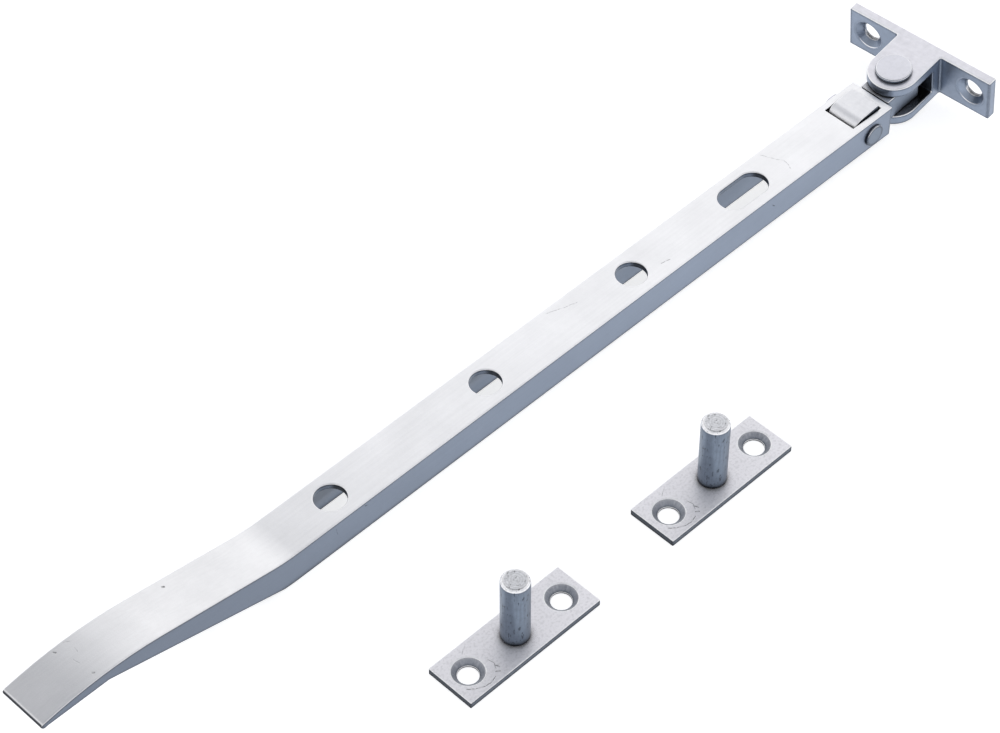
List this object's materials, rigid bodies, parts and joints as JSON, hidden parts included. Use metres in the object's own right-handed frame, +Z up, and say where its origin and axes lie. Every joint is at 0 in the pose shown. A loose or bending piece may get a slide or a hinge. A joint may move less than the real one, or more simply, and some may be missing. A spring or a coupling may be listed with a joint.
{
  "type": "casement stay",
  "caption": "Casement window stay: a peg-holed channel arm with a cranked tail, hinged by a knuckle to a two-hole bracket, with two loose peg plates.",
  "frame": {"origin": "on the surface that the stay and its peg plates lie on, under the middle of the whole set", "axes": "+X along the arm towards the bracket, +Y across it, away from the peg plates, +Z up from the surface"},
  "size_m": [0.3041, 0.0836, 0.0216],
  "materials": {
    "satin_aluminium": "satin anodised",
    "turned_aluminium": "fine turned"
  },
  "bodies": {
    "arm": {"stay_arm": "satin_aluminium", "arm_rivet": "turned_aluminium", "peg_plate_1": "satin_aluminium", "peg_1": "turned_aluminium", "peg_plate_2": "satin_aluminium", "peg_2": "turned_aluminium"},
    "knuckle": {"knuckle": "satin_aluminium"},
    "bracket": {"bracket": "satin_aluminium", "pivot_rivet": "turned_aluminium"}
  },
  "joints": [
    {"name": "arm_lift", "type": "hinge", "parent": "arm", "child": "knuckle", "pos_m": [0.12088, 0.01848, 0.00564], "axis": [0, -1, 0], "range_deg": [-6, 19]},
    {"name": "bracket_swing", "type": "hinge", "parent": "knuckle", "child": "bracket", "pos_m": [0.13649, 0.01848, 0.00737], "axis": [-0.1102, 0, 0.9939], "range_deg": [-93.5, 86.5]}
  ]
}
